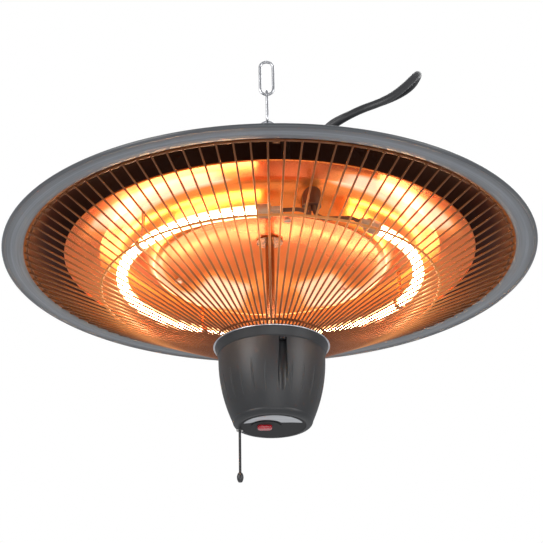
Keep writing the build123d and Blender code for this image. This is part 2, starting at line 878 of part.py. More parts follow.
def coil_tangent(s):
    e = 1e-4
    s0, s1 = max(s - e, 0.0), min(s + e, coil_total)
    return (coil_point(s1) - coil_point(s0)).normalized()


def coil_knots():
    """Places along the coil, a quarter turn apart and meeting the climb."""
    half = coil_turns_each
    first = [half - 0.25 - 0.25 * k for k in range(40) if half - 0.25 - 0.25 * k > 0.1]
    low = sorted([0.0] + first)
    climb = [half - 0.125, half, half + 0.125]
    return low + climb + [2 * half - s for s in reversed(low)]


def cord_coil():
    knots = coil_knots()
    edges = []
    for s0, s1 in zip(knots, knots[1:]):
        edges += biarc(coil_point(s0), coil_tangent(s0), coil_point(s1), coil_tangent(s1))
    path = Wire(edges)
    return sweep(Plane(path @ 0, z_dir=path % 0) * Circle(cord_dia / 2), path=path), path.length


def least_coil_gap():
    """Smallest clear gap between two turns, measured on points."""
    n = 600
    points = [coil_point(coil_total * i / n) for i in range(n + 1)]
    skip = int(n / coil_total * 0.6)
    least = min((points[i] - points[j]).length for i in range(0, n, 2) for j in range(i + skip, n + 1))
    return least - cord_dia


def tail_route():
    """The last stretch, from the coil's lower end round to the plug."""
    p = coil_point(coil_total)
    t = coil_tangent(coil_total)
    side = Vector(-t.Y, t.X, 0)
    rise = at(dish_rise) + plug_dia / 2 + 0.3 - p.Z
    q1 = p + t * 22
    q2 = q1 + t * 20 + side * 3 + Vector(0, 0, rise * 0.25)
    q3 = q2 + t * 20 + side * 6 + Vector(0, 0, rise * 0.75)
    q4 = q3 + t * 17 + side * 8
    return [p, q1, q2, q3, q4]


def cord_tube(points, radii):
    path = FilletPolyline(*points, radius=radii)
    solid = sweep(Plane(path @ 0, z_dir=path % 0) * Circle(cord_dia / 2), path=path)
    return solid, path.length


def plug_body(place, along):
    """Round rubber plug: neck, tapered grip and front flange."""
    n, r = plug_neck_dia / 2, plug_dia / 2
    points = [(0, 0), (n, 0), (n + 1.5, 10), (r * 0.66, 20), (r * 0.72, 30), (r, 34), (r, plug_length), (0, plug_length)]
    face = make_face(Polyline([(x, 0, z) for x, z in points], close=True))
    body = revolve(face, Axis.Z)
    return Plane(place, z_dir=along).location * body


def plug_pins(place, along):
    side = Vector(-along.Y, along.X, 0).normalized()
    front = place + along * (plug_length + 0.02)
    pins = []
    for way in (-1, 1):
        pin = extrude(Plane(front + side * (pin_spacing / 2 * way), z_dir=along) * Circle(pin_dia / 2), pin_length)
        pins.append(pin)
    return group(pins)


def cord_tie():
    """Strap round the coil's bundle, where every turn lies in its layer."""
    first = ((tie_turn - coil_start_turn) % 360) / 360
    spots = [coil_point(first + k) for k in range(int(coil_total - first) + 1)]
    near = min(hypot(p.X, p.Y) for p in spots) - cord_dia / 2 - 0.6
    far = max(hypot(p.X, p.Y) for p in spots) + cord_dia / 2 + 0.6
    tall = coil_layer_step + cord_dia + 0.3
    inner = RectangleRounded(far - near, tall, 3.4)
    outer = RectangleRounded(far - near + 2 * tie_thick, tall + 2 * tie_thick, 3.4 + tie_thick)
    a = radians(tie_turn)
    r = (near + far) / 2
    middle = (r * cos(a), r * sin(a), coil_low + coil_layer_step / 2)
    place = Plane(middle, x_dir=(cos(a), sin(a), 0), z_dir=(-sin(a), cos(a), 0))
    return extrude(place * (outer - inner), tie_width / 2, both=True)


# Write every piece

save("upper_link", chain_link(0.0, 0))
save("lower_link", chain_link(lower_top, 90))
save("hanging_eye", hanging_eye())
cap_fixings, lock_fixings = eye_fixings()
save("eye_nut", cap_fixings)
save("eye_lock_nut", lock_fixings)
save("outer_dish", outer_dish())
save("top_cap", top_cap())
save("cord_gland", cord_gland())
save("cord_boot", cord_boot())
save("inner_reflector", inner_reflector())
save("reflector_standoffs", reflector_standoffs())
save("reflector_screws", reflector_screws())
save("lead_bushing", lead_bushing())
save("centre_column", centre_column())
save("column_screws", column_screws())
save("column_collar", column_collar())
save("column_nut", column_nut())
save("lamp_tube", lamp_tube())
save("lamp_filament", lamp_filament())
save("lamp_ends", lamp_ends())
save("lamp_clips", lamp_clips())
save("lamp_leads", lamp_leads())
save("terminal_block", terminal_block())
save("guard_wires", guard_wires())
save("guard_outer_ring", guard_ring(outer_ring_radius))
save("guard_mid_ring", guard_ring(mid_ring_radius))
save("guard_hub_ring", guard_ring(hub_ring_radius))
save("guard_clips", guard_clips())
save("trim_ring", trim_ring())
save("hub_plate", hub_plate())
save("housing_pot", housing_pot())
save("housing_screws", housing_screws())
save("base_plate", base_plate())
save("indicator_lens", indicator_lens())
save("control_board", control_board())
save("switch_box", switch_box())
save("pull_plunger", pull_plunger())
save("pull_spring", pull_spring())
save("pull_string", pull_string())
save("pull_knob", pull_knob())
save("string_eyelet", string_eyelet())
save("ratchet_cam", ratchet_cam())

exit_point = gland_seat + gland_axis * (gland_nut_height + 0.1 + boot_length)
coil_in = coil_point(0.0)
lead_in = coil_in - coil_tangent(0.0) * 62
route = [tuple(exit_point)] + cord_route + [tuple(lead_in), tuple(coil_in)]
radii = corner_radii(route)
mains_cord, mains_length = cord_tube(route, radii)
save("mains_cord", mains_cord)
coil, coil_length = cord_coil()
save("mains_cord_coil", coil)
tail_points = tail_route()
tail_radii = corner_radii([tuple(p) for p in tail_points])
tail, tail_length = cord_tube([tuple(p) for p in tail_points], tail_radii)
save("mains_cord_tail", tail)
plug_way = (tail_points[-1] - tail_points[-2]).normalized()
save("plug_body", plug_body(tail_points[-1], plug_way))
save("plug_pins", plug_pins(tail_points[-1], plug_way))
save("cord_tie", cord_tie())

section = pi * cord_dia**2 / 4
print("brim height", round(brim_z, 2), "exit", [round(v, 1) for v in exit_point])
print("cord radii", [round(r) for r in radii], "tail radii", [round(r) for r in tail_radii])
print("cord lengths", round(mains_length), round(coil_length), round(tail_length))
print("volume ratios", round(mains_cord.volume / section / mains_length, 4), round(coil.volume / section / coil_length, 4))
print("least coil gap", round(least_coil_gap(), 2))
print("plug at", [round(v, 1) for v in tail_points[-1]])
for k, way in enumerate((-1, 1)):
    across = Vector(-plug_way.Y, plug_way.X, 0).normalized() * (pin_spacing / 2 * way)
    root = tail_points[-1] + plug_way * (plug_length + 0.02) + across
    middle = root + plug_way * (pin_length / 2)
    print("pin", k, [round(v / 1000, 5) for v in middle], "axis", [round(v, 6) for v in plug_way])
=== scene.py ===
import json
import bpy
import bmesh
from math import sin, cos, radians, pi, hypot, atan2, tan
from mathutils import Matrix, Vector


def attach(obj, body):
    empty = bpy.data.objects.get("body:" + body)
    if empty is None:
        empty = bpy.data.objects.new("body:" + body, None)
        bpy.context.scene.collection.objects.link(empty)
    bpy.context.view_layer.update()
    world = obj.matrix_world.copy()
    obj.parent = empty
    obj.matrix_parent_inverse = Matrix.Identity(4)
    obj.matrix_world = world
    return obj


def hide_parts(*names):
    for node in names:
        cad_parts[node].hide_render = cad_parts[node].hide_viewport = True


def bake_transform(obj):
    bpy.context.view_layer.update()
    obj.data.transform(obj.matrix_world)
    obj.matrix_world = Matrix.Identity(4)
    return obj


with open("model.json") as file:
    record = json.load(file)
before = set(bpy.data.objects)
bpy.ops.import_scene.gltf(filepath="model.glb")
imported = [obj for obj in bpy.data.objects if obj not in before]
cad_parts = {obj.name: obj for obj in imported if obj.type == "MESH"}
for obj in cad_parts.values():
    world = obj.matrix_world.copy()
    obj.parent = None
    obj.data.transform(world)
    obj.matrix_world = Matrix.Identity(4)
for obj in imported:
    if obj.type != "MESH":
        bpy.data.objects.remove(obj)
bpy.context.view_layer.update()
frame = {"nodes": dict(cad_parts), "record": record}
cad = frame["nodes"]
scene = bpy.context.scene

# Height of the brim in the frame, in metres, and what a millimetre is there
BRIM = -0.2629
MM = 0.001


# Camera, below the brim and looking up along +Y

TILT = radians(25.82)
ROLL = radians(1.07)
CAMERA_AWAY = 1.877
ahead = Vector((0, cos(TILT), sin(TILT)))
right = Vector((1, 0, 0))
over = Vector((0, -sin(TILT), cos(TILT)))
cam_x = right * cos(ROLL) - over * sin(ROLL)
cam_y = right * sin(ROLL) + over * cos(ROLL)
cam_data = bpy.data.cameras.new("camera")
camera = bpy.data.objects.new("camera", cam_data)
scene.collection.objects.link(camera)
spot = Vector((0, 0, BRIM)) - ahead * CAMERA_AWAY
facing = Matrix((cam_x, cam_y, -ahead)).transposed().to_4x4()
camera.matrix_world = Matrix.Translation(spot) @ facing
cam_data.lens = 110.17
cam_data.sensor_width = 36.0
cam_data.shift_x = 0.00276
cam_data.shift_y = -0.0197
cam_data.clip_start = 0.05
cam_data.clip_end = 60.0
scene.camera = camera


# Shape helpers

# Edges between faces that meet at more than this angle, in radians, stay sharp
SHARP = 0.6

# A curve's box grows by the radius of its points, so that radius is a small one
POINT_RADIUS = 0.005


def add(obj, body, slot, *nodes):
    """Puts a piece on its body and hides the nodes that it stands for; its slot is not used."""
    scene.collection.objects.link(obj)
    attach(obj, body)
    if nodes:
        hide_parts(*nodes)


def mesh_object(name, verts, faces):
    me = bpy.data.meshes.new(name)
    me.from_pydata(verts, [], faces)
    shell = bmesh.new()
    shell.from_mesh(me)
    bmesh.ops.recalc_face_normals(shell, faces=shell.faces)
    shell.to_mesh(me)
    shell.free()
    me.polygons.foreach_set("use_smooth", [True] * len(me.polygons))
    me.set_sharp_from_angle(angle=SHARP)
    me.update()
    return bpy.data.objects.new(name, me)


def lathe(name, profile, n=256):
    """Turns a closed outline of (r, z) points round the axis, in millimetres from the brim's centre."""
    verts, faces = [], []
    m = len(profile)
    for k in range(n):
        a = 2 * pi * k / n
        for r, z in profile:
            verts.append((r * MM * cos(a), r * MM * sin(a), z * MM + BRIM))
    for k in range(n):
        k2 = (k + 1) % n
        for j in range(m):
            j2 = (j + 1) % m
            faces.append((k * m + j, k2 * m + j, k2 * m + j2, k * m + j2))
    return mesh_object(name, verts, faces)


def on_circle(cx, cy, rad, start, end, n):
    """Points on a circle, n steps from angle start to angle end, in radians."""
    angles = [start + (end - start) * i / n for i in range(n + 1)]
    return [(cx + rad * cos(a), cy + rad * sin(a)) for a in angles]


def arc(a, b, c, n):
    """Points along the circle through a, b and c, from a to c."""
    (ax, ay), (bx, by), (cx, cy) = a, b, c
    d = 2 * (ax * (by - cy) + bx * (cy - ay) + cx * (ay - by))
    aa, bb, cc = ax**2 + ay**2, bx**2 + by**2, cx**2 + cy**2
    ux = (aa * (by - cy) + bb * (cy - ay) + cc * (ay - by)) / d
    uy = (aa * (cx - bx) + bb * (ax - cx) + cc * (bx - ax)) / d
    a0, a1, a2 = (atan2(y - uy, x - ux) for x, y in (a, b, c))

    def near(x, ref):
        while x - ref > pi:
            x -= 2 * pi
        while x - ref < -pi:
            x += 2 * pi
        return x

    end = near(a2, near(a1, a0))
    return on_circle(ux, uy, hypot(ax - ux, ay - uy), a0, end, n)


def rounded(points, radii, n=10):
    """A line of points with arcs of these radii in place of its inner corners."""
    out = [points[0]]
    for before, corner, after, rad in zip(points, points[1:], points[2:], radii):
        corner = Vector(corner)
        u = (Vector(before) - corner).normalized()
        v = (Vector(after) - corner).normalized()
        half = u.angle(v) / 2
        middle = corner + (u + v).normalized() * (rad / sin(half))
        p = corner + u * (rad / tan(half))
        q = corner + v * (rad / tan(half))
        a0 = atan2(p.y - middle.y, p.x - middle.x)
        a1 = atan2(q.y - middle.y, q.x - middle.x)
        if a1 - a0 > pi:
            a1 -= 2 * pi
        if a0 - a1 > pi:
            a1 += 2 * pi
        out += on_circle(middle.x, middle.y, rad, a0, a1, n)
    return out + [points[-1]]


def bars(name, lines, radius, kind="POLY", closed=False, sides=4, steps=1):
    """Round bars along lists of points in metres."""
    cu = bpy.data.curves.new(name, "CURVE")
    cu.dimensions = "3D"
    cu.bevel_depth = radius / POINT_RADIUS
    cu.bevel_resolution = sides
    cu.use_fill_caps = True
    cu.resolution_u = steps
    for pts in lines:
        sp = cu.splines.new(kind)
        sp.points.add(len(pts) - 1)
        for p, q in zip(sp.points, pts):
            p.co = (q[0], q[1], q[2], 1)
            p.radius = POINT_RADIUS
        if kind == "NURBS":
            sp.order_u = 3
            sp.use_endpoint_u = True
        sp.use_cyclic_u = closed
        sp.use_smooth = True
    return bpy.data.objects.new(name, cu)


def lifted(points, h):
    """Flat points in millimetres as points of the frame, h above the brim."""
    return [(x * MM, y * MM, BRIM + h * MM) for x, y in points]


# Cord, from the boot's tip over the arch, round the coil and on to the plug

DISH_TOP = 92.0
CORD_RADIUS = 4.6
COIL_R = 64.0
PITCH = 10.0
TURNS = 2.0
COIL_LIFT = 0.9
STEP = 9.8
FIRST = 130.0
PLUG_RADIUS = 18.5
PLUG_LIFT = 0.3
POINTS_PER_TURN = 16

# The curve runs inside its points, at this share of their radius
CURVE_SHARE = 0.9808


def coil_spot(s):
    """The coil's point after s turns, inward in the upper layer and outward again in the lower one."""
    r = (COIL_R - PITCH * (s if s < TURNS else 2 * TURNS - s)) / CURVE_SHARE
    part = min(max((s - TURNS + 0.25) / 0.5, 0.0), 1.0)
    drop = part * part * (3 - 2 * part)
    a = radians(FIRST + 360 * s)
    h = DISH_TOP + CORD_RADIUS + COIL_LIFT + STEP * (1 - drop)
    return (r * MM * cos(a), r * MM * sin(a), BRIM + h * MM)


def coil_way(s):
    """The coil's level direction after s turns."""
    a = radians(FIRST + 360 * s)
    return Vector((-sin(a), cos(a), 0))


route = [
    (0.0503, -0.0352, -0.1283),
    (0.0654, -0.0458, -0.1205),
    (0.0990, -0.0605, -0.1057),
    (0.1359, -0.0480, -0.0847),
    (0.1600, -0.0250, -0.0540),
    (0.1870, 0.0105, -0.0060),
    (0.1740, 0.0620, -0.0070),
    (0.1073, 0.0760, -0.0243),
    (0.0666, 0.0800, -0.0444),
    (0.0400, 0.0860, -0.1050),
]
start, start_way = Vector(coil_spot(0.0)), coil_way(0.0)
route.append(tuple(start - start_way * 0.062))
route.append(tuple(start - start_way * 0.020))
count = int(2 * TURNS * POINTS_PER_TURN)
route += [coil_spot(2 * TURNS * i / count) for i in range(count + 1)]

# The tail swings out beside the coil and rises to the plug's height
leave, way = Vector(coil_spot(2 * TURNS)), coil_way(2 * TURNS)
side = Vector((-way.y, way.x, 0))
rise = Vector((0, 0, BRIM + (DISH_TOP + PLUG_RADIUS + PLUG_LIFT) * MM - leave.z))
q1 = leave + way * 0.022
q2 = q1 + way * 0.020 + side * 0.003 + rise * 0.25
q3 = q2 + way * 0.020 + side * 0.006 + rise * 0.75
q4 = q3 + way * 0.017 + side * 0.008
route += [tuple(q) for q in (q1, q2, q3, q4)]
cord = bars("mains_lead", [route], CORD_RADIUS * MM, kind="NURBS", sides=6, steps=8)
add(cord, "heater", "rubber", "mains_cord", "mains_cord_coil", "mains_cord_tail")


# Material helpers

mats = {}


def shader_of(name):
    tree = mats[name].node_tree
    return tree, tree.nodes["Principled BSDF"]


def node(nt, kind, feeds=(), **settings):
    """A node with its settings. Feeds are keys of its inputs, each with a value or the socket it takes."""
    made = nt.nodes.new(kind)
    for key, value in settings.items():
        setattr(made, key, value)
    for key, value in feeds:
        if isinstance(value, bpy.types.NodeSocket):
            nt.links.new(value, made.inputs[key])
        else:
            made.inputs[key].default_value = value
    return made


def maths(nt, operation, *values):
    """Result of a maths node on numbers or sockets."""
    return node(nt, "ShaderNodeMath", enumerate(values), operation=operation).outputs["Value"]


def map_range(nt, value, before, after=(0.0, 1.0), kind="LINEAR"):
    """Result of a node that takes the range before to the range after."""
    feeds = [("Value", value), ("From Min", before[0]), ("From Max", before[1])]
    feeds += [("To Min", after[0]), ("To Max", after[1])]
    return node(nt, "ShaderNodeMapRange", feeds, interpolation_type=kind).outputs["Result"]


def noise(nt, vector, scale, detail):
    feeds = [("Vector", vector), ("Scale", scale), ("Detail", detail)]
    return node(nt, "ShaderNodeTexNoise", feeds).outputs["Fac"]


def colour_ramp(nt, value, stops, way="LINEAR"):
    """Colour of a ramp whose stops are each a place and a colour."""
    made = node(nt, "ShaderNodeValToRGB", [("Fac", value)])
    made.color_ramp.interpolation = way
    found = made.color_ramp.elements
    while len(found) < len(stops):
        found.new(0.5)
    for stop, (place, colour) in zip(found, stops):
        stop.position = place
        stop.color = (*colour, 1)
    return made.outputs["Color"]


def surface(name, base, other, rough, rough_to=None, metal=0.0, scale=40.0, bump=0.05, coat=0.0,
            stretch=(1, 1, 1), spec=0.5, transmission=0.0):
    """A procedural surface: two near tones mixed by noise, uneven roughness and a fine relief."""
    mats[name] = bpy.data.materials.new(name)
    mats[name].use_nodes = True
    nt, bsdf = shader_of(name)
    coord = node(nt, "ShaderNodeTexCoord")
    place = node(nt, "ShaderNodeMapping", [("Vector", coord.outputs["Object"]), ("Scale", stretch)])
    where = place.outputs["Vector"]
    cloud = noise(nt, where, scale, 4.0)
    nt.links.new(colour_ramp(nt, cloud, [(0.35, other), (0.65, base)]), bsdf.inputs["Base Color"])
    most = min(1.0, rough * 1.25) if rough_to is None else rough_to
    nt.links.new(map_range(nt, cloud, (0.0, 1.0), (rough, most)), bsdf.inputs["Roughness"])
    if bump:
        feeds = [("Height", noise(nt, where, scale * 12, 2.0)), ("Strength", bump), ("Distance", 0.0004)]
        relief = node(nt, "ShaderNodeBump", feeds)
        nt.links.new(relief.outputs["Normal"], bsdf.inputs["Normal"])
    bsdf.inputs["Metallic"].default_value = metal
    bsdf.inputs["Coat Weight"].default_value = coat
    bsdf.inputs["Coat Roughness"].default_value = 0.12
    bsdf.inputs["Specular IOR Level"].default_value = spec
    bsdf.inputs["Transmission Weight"].default_value = transmission


def from_axis(nt):
    """Distance from the heater's axis, in metres, and the X and Y that it comes from, as sockets."""
    coord = node(nt, "ShaderNodeTexCoord")
    parts = node(nt, "ShaderNodeSeparateXYZ", [("Vector", coord.outputs["Object"])])
    x, y = parts.outputs["X"], parts.outputs["Y"]
    flat = node(nt, "ShaderNodeCombineXYZ", [("X", x), ("Y", y)])
    size = node(nt, "ShaderNodeVectorMath", [(0, flat.outputs["Vector"])], operation="LENGTH")
    return size.outputs["Value"], x, y


def glow(name, stops, span, strength):
    """Adds warm light to a surface by its distance from the axis."""
    nt, bsdf = shader_of(name)
    radius = from_axis(nt)[0]
    nt.links.new(colour_ramp(nt, map_range(nt, radius, span), stops, "EASE"), bsdf.inputs["Emission Color"])
    bsdf.inputs["Emission Strength"].default_value = strength


def fade(nt, value, dark, light):
    """Rises smoothly from 0 at dark to 1 at light, which may be the lower of the two."""
    after = (0.0, 1.0) if dark < light else (1.0, 0.0)
    return map_range(nt, value, (min(dark, light), max(dark, light)), after, "SMOOTHSTEP")


def painted_highlights(name, areas, stops, strength):
    """Adds pale light in soft-edged areas, each with its radii, its angles in degrees and its share."""
    nt, bsdf = shader_of(name)
    radius, x, y = from_axis(nt)
    angle = maths(nt, "ARCTAN2", y, x)
    total = 0.0
    for radii, angles, share in areas:
        middle = radians((angles[1] + angles[2]) / 2)
        turned = maths(nt, "WRAP", maths(nt, "SUBTRACT", angle, middle), pi, -pi)
        off = [radians(a) - middle for a in angles]
        value = fade(nt, radius, radii[0], radii[1])
        for edge in (fade(nt, radius, radii[3], radii[2]), fade(nt, turned, off[0], off[1]),
                     fade(nt, turned, off[3], off[2])):
            value = maths(nt, "MULTIPLY", value, edge)
        total = maths(nt, "MULTIPLY_ADD", value, share, total)
    feeds = [(0, colour_ramp(nt, total, stops)), ("Scale", strength)]
    pale = node(nt, "ShaderNodeVectorMath", feeds, operation="SCALE")
    warm = bsdf.inputs["Emission Color"].links[0].from_socket
    joined = node(nt, "ShaderNodeVectorMath", [(0, warm), (1, pale.outputs["Vector"])], operation="ADD")
    nt.links.new(joined.outputs["Vector"], bsdf.inputs["Emission Color"])


def painted_reflection_bands(name, across, span, bands):
    """Painted reflection streaks round the axis, finer with a larger across, and bands of painted highlight
    and shade by the distance from it.
    """
    nt, bsdf = shader_of(name)
    radius, x, y = from_axis(nt)
    angle = maths(nt, "ARCTAN2", y, x)
    around = node(nt, "ShaderNodeCombineXYZ", [("X", angle), ("Y", maths(nt, "MULTIPLY", radius, across))])
    # Streaks of painted reflection round the axis
    streak = noise(nt, around.outputs["Vector"], 2.2, 5.0)
    soft = map_range(nt, streak, (0.3, 0.7), (0.84, 1.22))
    # Bands of painted highlight and shade by the distance from the axis
    highlight_shade_bands = colour_ramp(nt, map_range(nt, radius, span), [(place, (grey,) * 3) for place, grey in bands])
    paint = bsdf.inputs["Base Color"].links[0].from_socket
    feeds = [(0, paint), ("Scale", maths(nt, "MULTIPLY", highlight_shade_bands, soft))]
    lit_paint = node(nt, "ShaderNodeVectorMath", feeds, operation="SCALE")
    nt.links.new(lit_paint.outputs["Vector"], bsdf.inputs["Base Color"])


# Materials

surface("dish_paint", (0.20, 0.215, 0.235), (0.18, 0.193, 0.212), 0.32, rough_to=0.40, scale=14, bump=0.03,
        coat=0.08)
# Near-black colour of the dish's underside, which is painted shade; its glow further down adds painted lamp
# light towards the brim
surface("underside_painted_shade", (0.030, 0.009, 0.004), (0.02, 0.006, 0.003), 0.45, scale=20, bump=0.03, spec=0.25)
surface("cap_paint", (0.28, 0.30, 0.32), (0.25, 0.27, 0.29), 0.28, scale=22, bump=0.04, coat=0.3)
surface("reflector", (0.88, 0.225, 0.036), (0.84, 0.205, 0.031), 0.25, rough_to=0.30, metal=1.0, scale=4,
        bump=0.008, coat=0.25)
surface("guard_steel", (0.13, 0.058, 0.032), (0.10, 0.042, 0.024), 0.36, metal=0.8, scale=160, bump=0.04)
surface("screw_dark", (0.03, 0.03, 0.032), (0.02, 0.02, 0.022), 0.35, metal=0.6, scale=200)
surface("chain_steel", (0.62, 0.62, 0.64), (0.5, 0.5, 0.52), 0.2, metal=1.0, scale=150)
surface("fixing_steel", (0.55, 0.54, 0.52), (0.44, 0.43, 0.41), 0.32, metal=1.0, scale=180)
surface("column_steel", (0.42, 0.24, 0.15), (0.34, 0.19, 0.12), 0.22, metal=1.0, scale=60, bump=0.04,
        stretch=(6, 6, 0.4))
surface("ceramic", (0.50, 0.30, 0.17), (0.40, 0.22, 0.12), 0.35, scale=120)
surface("burnt_ceramic", (0.085, 0.026, 0.010), (0.055, 0.015, 0.006), 0.35, scale=120)
surface("lead_sleeve", (0.16, 0.055, 0.018), (0.11, 0.035, 0.010), 0.7, scale=700, bump=0.4)
surface("pot_plastic", (0.018, 0.019, 0.021), (0.015, 0.016, 0.018), 0.4, rough_to=0.48, scale=60, bump=0.1)
surface("base_plastic", (0.016, 0.016, 0.017), (0.012, 0.012, 0.013), 0.55, scale=200, bump=0.15, spec=0.3)
surface("board", (0.04, 0.18, 0.08), (0.03, 0.13, 0.06), 0.4, scale=200, bump=0.1)
surface("switch_plastic", (0.68, 0.66, 0.6), (0.6, 0.58, 0.53), 0.45, scale=90)
surface("string", (0.03, 0.03, 0.032), (0.018, 0.018, 0.02), 0.6, scale=900, bump=0.5)
surface("knob", (0.028, 0.028, 0.03), (0.02, 0.02, 0.022), 0.35, scale=120)
surface("rubber", (0.022, 0.022, 0.024), (0.016, 0.016, 0.018), 0.38, rough_to=0.5, scale=140, bump=0.08)
surface("plug_rubber", (0.026, 0.026, 0.028), (0.018, 0.018, 0.02), 0.42, scale=120, bump=0.12)
surface("plug_metal", (0.72, 0.68, 0.58), (0.6, 0.56, 0.47), 0.2, metal=1.0, scale=200, bump=0.03)
surface("tie", (0.03, 0.03, 0.032), (0.02, 0.02, 0.022), 0.4, scale=260, bump=0.2)
surface("lens_red", (0.62, 0.015, 0.03), (0.5, 0.01, 0.02), 0.12, scale=60, bump=0.0, coat=0.8,
        transmission=0.25)
surface("plain_plate", (0.62, 0.63, 0.65), (0.52, 0.53, 0.55), 0.3, metal=1.0, scale=30, stretch=(0.2, 6, 6))
surface("lamp_glass", (1.0, 0.72, 0.42), (1.0, 0.62, 0.32), 0.06, scale=30, bump=0.0, transmission=0.9)
surface("filament", (1.0, 0.5, 0.2), (1.0, 0.4, 0.12), 0.5, scale=300, bump=0.0)
surface("stage_floor", (0.80, 0.80, 0.80), (0.78, 0.78, 0.78), 0.7, scale=3, bump=0.0)

# Painted reflection streaks on the paint, and bands of painted highlight and shade from just inside the brim
# out to the bead: darker at the brim's inner edge and at the bead, with a bright line between
painted_reflection_bands("dish_paint", 260.0, (0.260, 0.300),
             [(0.0, 0.9), (0.35, 0.42), (0.43, 0.75), (0.65, 0.88), (0.71, 1.0), (0.77, 0.80), (0.90, 0.62),
              (1.0, 0.30)])

# Clear coat of the reflector
bowl_coat = shader_of("reflector")[1].inputs
bowl_coat["Coat IOR"].default_value = 1.7
bowl_coat["Coat Roughness"].default_value = 0.22

# Warm light of the lamp on what surrounds it
BOWL_GLOW = 0.12
strand_light = shader_of("filament")[1].inputs
strand_light["Emission Color"].default_value = (1.0, 0.80, 0.60, 1)
strand_light["Emission Strength"].default_value = 75.0
glow("lamp_glass", [(0.0, (1.0, 0.50, 0.22)), (0.5, (1.0, 0.80, 0.58)), (1.0, (1.0, 0.50, 0.22))],
     (0.1595, 0.1725), 2.0)
glow("reflector",
     [(0.0, (0.30, 0.05, 0.006)), (0.45, (0.42, 0.08, 0.01)), (0.62, (0.75, 0.20, 0.035)),
      (0.74, (0.9, 0.28, 0.06)), (0.88, (0.55, 0.12, 0.015)), (1.0, (0.30, 0.05, 0.006))],
     (0.0, 0.230), BOWL_GLOW)
glow("guard_steel",
     [(0.0, (0.10, 0.02, 0.002)), (0.35, (0.30, 0.08, 0.012)), (0.6, (1.0, 0.36, 0.09)),
      (0.8, (0.42, 0.11, 0.016)), (0.9, (0.20, 0.06, 0.010)), (1.0, (0.08, 0.024, 0.004))],
     (0.05, 0.265), 0.5)
glow("underside_painted_shade",
     [(0.0, (0.0, 0.0, 0.0)), (0.5, (0.02, 0.002, 0.0)), (0.8, (0.12, 0.026, 0.003)),
      (1.0, (0.36, 0.095, 0.015))],
     (0.225, 0.276), 0.6)

# Painted highlights of the reflector, standing for the lamp's reflection, each rising over its first two
# radii and fading over the last two
OUTER_SLOPE = (0.150, 0.172, 0.208, 0.226)
RIDGE = (0.114, 0.124, 0.133, 0.142)
INNER_SLOPE = (0.074, 0.094, 0.118, 0.130)
DOME_EDGE = (0.060, 0.074, 0.090, 0.104)
painted_highlights("reflector",
        [(OUTER_SLOPE, (190, 212, 250, 266), 1.0), (OUTER_SLOPE, (-76, -62, -24, -10), 0.95),
         (RIDGE, (108, 135, 185, 215), 0.8), (RIDGE, (-35, -5, 45, 72), 0.8),
         (INNER_SLOPE, (98, 112, 134, 152), 1.0), (INNER_SLOPE, (28, 42, 64, 80), 0.9),
         (DOME_EDGE, (66, 80, 98, 112), 0.4)],
        [(0.0, (0, 0, 0)), (0.5, (0.5, 0.17, 0.035)), (1.0, (1.0, 0.76, 0.54))], 1.0 / BOWL_GLOW)

# Pieces near the lamp look darker than the rest of their slot
NEAR_LAMP = {
    "guard_clips": "guard_steel", "column_collar": "column_steel", "lamp_clips": "column_steel",
    "lead_bushing": "burnt_ceramic",
}
for part in frame["record"]["subparts"]:
    data = cad[part["node"]].data
    data.materials.clear()
    data.materials.append(mats[NEAR_LAMP.get(part["node"], part["material_slot"])])
cord.data.materials.append(mats["rubber"])


# Outer dish, with its rolled bead

wall_low, wall_high = (276.0, 0.0), (125.0, 91.0)
wall_mid = ((wall_low[0] + wall_high[0]) / 2 + 3.5, (wall_low[1] + wall_high[1]) / 2 + 7.0)
under_wall = arc(wall_low, wall_mid, wall_high, 40)
over_wall = arc((125.4, DISH_TOP), (wall_mid[0] + 0.5, wall_mid[1] + 0.87), (277.2, 1.0), 40)
profile = [(3.5, DISH_TOP)] + over_wall + [(296.0, 1.0)]
profile += on_circle(297.6, 1.5, 2.4, radians(150), radians(-145), 22)
profile += [(293.5, -0.2), (288.5, -0.3), (287.0, -0.9), (284.0, -1.2), (279.0, -1.1), (277.0, -0.7)]
profile += under_wall + [(3.5, 91.0)]
dish = lathe("dish_shell", profile)
dish.data.materials.append(mats["dish_paint"])
dish.data.materials.append(mats["underside_painted_shade"])
# The underside of the wall takes the painted shade material, with its painted lamp light
first = profile.index(under_wall[0])
for poly in dish.data.polygons:
    if first <= poly.index % len(profile) < first + len(under_wall):
        poly.material_index = 1
add(dish, "heater", "dish_paint", "outer_dish")


# Reflector bowl, from its edge over the trough and the ridge to the dome, with a rolled lip

BOWL_SHEET = 0.9
bowl_line = rounded([(230.0, 1.0), (192.0, 4.0), (158.0, 22.0), (129.5, -11.0), (75.0, 16.0), (5.5, 26.5)],
                    [1.5, 22.0, 6.0, 150.0])
bowl_profile = bowl_line + [(r, z + BOWL_SHEET) for r, z in reversed(bowl_line)][:-1]
bowl_profile += on_circle(230.0, 1.4, 1.2, radians(100), radians(-100), 12)
bowl = lathe("reflector_bowl", bowl_profile)
bowl.data.materials.append(mats["reflector"])
add(bowl, "heater", "reflector", "inner_reflector")


# Lamp: clear tube and glowing strand

LAMP_R, LAMP_H = 166.0, -23.0
LAMP_START, LAMP_END = -47.0, 266.0
TUBE_RADIUS, STRAND_RADIUS = 6.5, 2.0


def lamp_line(inset):
    """Points along the lamp, which stop inset degrees before each of its ends."""
    start, end = radians(LAMP_START + inset), radians(LAMP_END - inset)
    return lifted(on_circle(0, 0, LAMP_R, start, end, 180), LAMP_H)


tube = bars("lamp_glass_tube", [lamp_line(0.0)], TUBE_RADIUS * MM, sides=6)
tube.data.materials.append(mats["lamp_glass"])
add(tube, "heater", "lamp_glass", "lamp_tube")
strand = bars("lamp_strand", [lamp_line(0.1)], STRAND_RADIUS * MM, sides=3)
strand.data.materials.append(mats["filament"])
add(strand, "heater", "filament", "lamp_filament")


